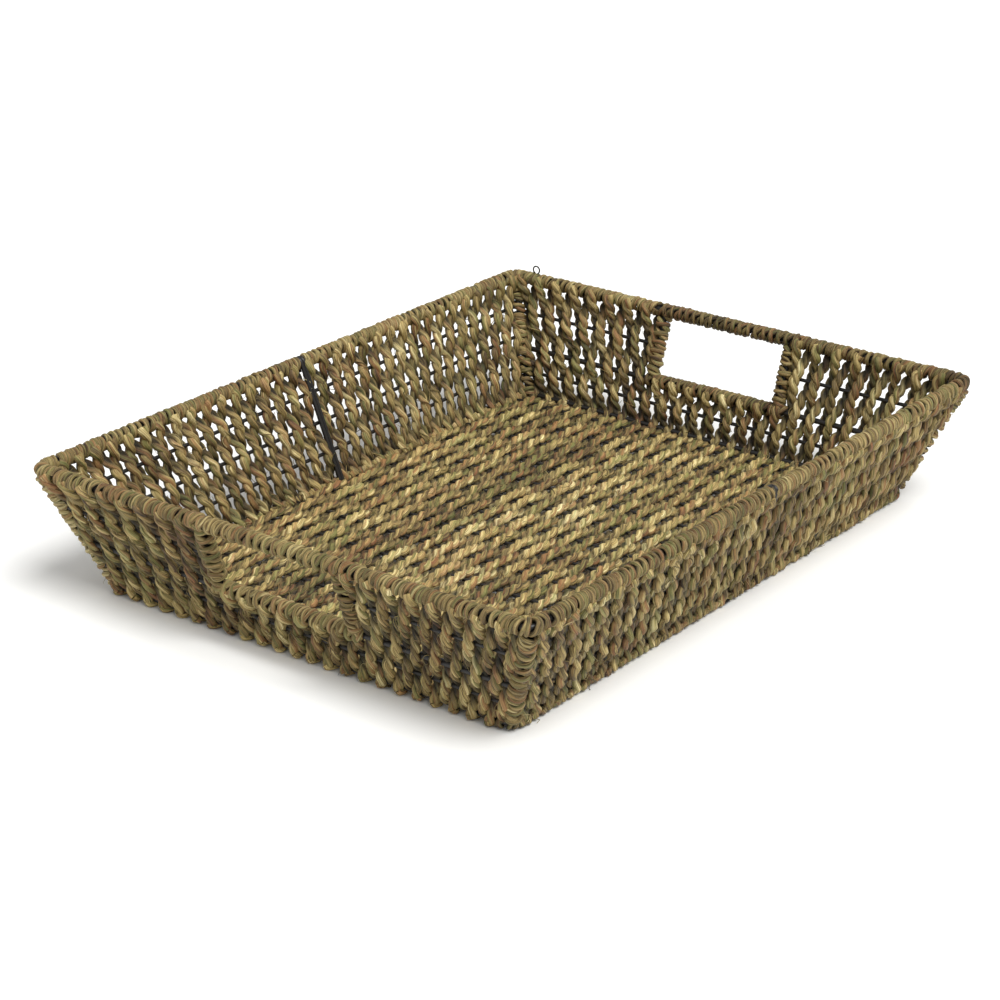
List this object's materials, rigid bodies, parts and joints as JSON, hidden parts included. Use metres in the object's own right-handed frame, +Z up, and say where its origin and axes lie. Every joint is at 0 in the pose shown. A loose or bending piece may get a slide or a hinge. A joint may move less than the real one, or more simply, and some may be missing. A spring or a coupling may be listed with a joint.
{
  "type": "bread basket",
  "caption": "Shallow flared rectangular tray of woven seagrass rope on a black wire frame, with a hand opening in each short wall.",
  "frame": {"origin": "middle of the underside, on the surface that the basket stands on", "axes": "+X along the basket towards one short wall with a hand opening, +Y across it, +Z up"},
  "size_m": [0.4596, 0.3596, 0.0872],
  "materials": {
    "frame_wire": "black painted steel wire, satin",
    "floor_seagrass": "two-ply seagrass rope, plain woven, dry and matt",
    "wall_seagrass": "two-ply seagrass rope, plain woven, dry and matt",
    "binding_seagrass": "seagrass strands wound tightly round the wire, slightly glossy"
  },
  "bodies": {
    "root": {"rim_wire": "frame_wire", "base_wire": "frame_wire", "corner_post_front_left": "frame_wire", "corner_post_front_right": "frame_wire", "corner_post_back_left": "frame_wire", "corner_post_back_right": "frame_wire", "mid_strut_front": "frame_wire", "mid_strut_back": "frame_wire", "handle_bar_wire_left": "frame_wire", "handle_bar_wire_right": "frame_wire", "handle_post_wire_left_front": "frame_wire", "handle_post_wire_left_back": "frame_wire", "handle_post_wire_right_front": "frame_wire", "handle_post_wire_right_back": "frame_wire", "wall_wires_front": "frame_wire", "wall_wires_back": "frame_wire", "wall_wires_left": "frame_wire", "wall_wires_right": "frame_wire", "floor_cross_wires": "frame_wire", "floor_weave": "floor_seagrass", "wall_weave_front_left": "wall_seagrass", "wall_weave_front_right": "wall_seagrass", "wall_weave_back_left": "wall_seagrass", "wall_weave_back_right": "wall_seagrass", "end_weave_left_front": "wall_seagrass", "end_weave_left_back": "wall_seagrass", "end_weave_left_below_handle": "wall_seagrass", "end_weave_right_front": "wall_seagrass", "end_weave_right_back": "wall_seagrass", "end_weave_right_below_handle": "wall_seagrass", "rim_corner_binding_front_left": "binding_seagrass", "rim_corner_binding_front_right": "binding_seagrass", "rim_corner_binding_back_left": "binding_seagrass", "rim_corner_binding_back_right": "binding_seagrass", "base_corner_binding_front_left": "binding_seagrass", "base_corner_binding_front_right": "binding_seagrass", "base_corner_binding_back_left": "binding_seagrass", "base_corner_binding_back_right": "binding_seagrass", "corner_post_binding_front_left": "binding_seagrass", "corner_post_binding_front_right": "binding_seagrass", "corner_post_binding_back_left": "binding_seagrass", "corner_post_binding_back_right": "binding_seagrass", "rim_binding_front_left": "binding_seagrass", "rim_binding_front_right": "binding_seagrass", "rim_binding_back_left": "binding_seagrass", "rim_binding_back_right": "binding_seagrass", "rim_binding_left_front": "binding_seagrass", "rim_binding_left_back": "binding_seagrass", "rim_binding_right_front": "binding_seagrass", "rim_binding_right_back": "binding_seagrass", "handle_grip_binding_left": "binding_seagrass", "handle_grip_binding_right": "binding_seagrass", "handle_bar_binding_left": "binding_seagrass", "handle_bar_binding_right": "binding_seagrass", "handle_post_binding_left_front": "binding_seagrass", "handle_post_binding_left_back": "binding_seagrass", "handle_post_binding_right_front": "binding_seagrass", "handle_post_binding_right_back": "binding_seagrass", "rim_fibre_loop": "binding_seagrass"}
  },
  "joints": []
}
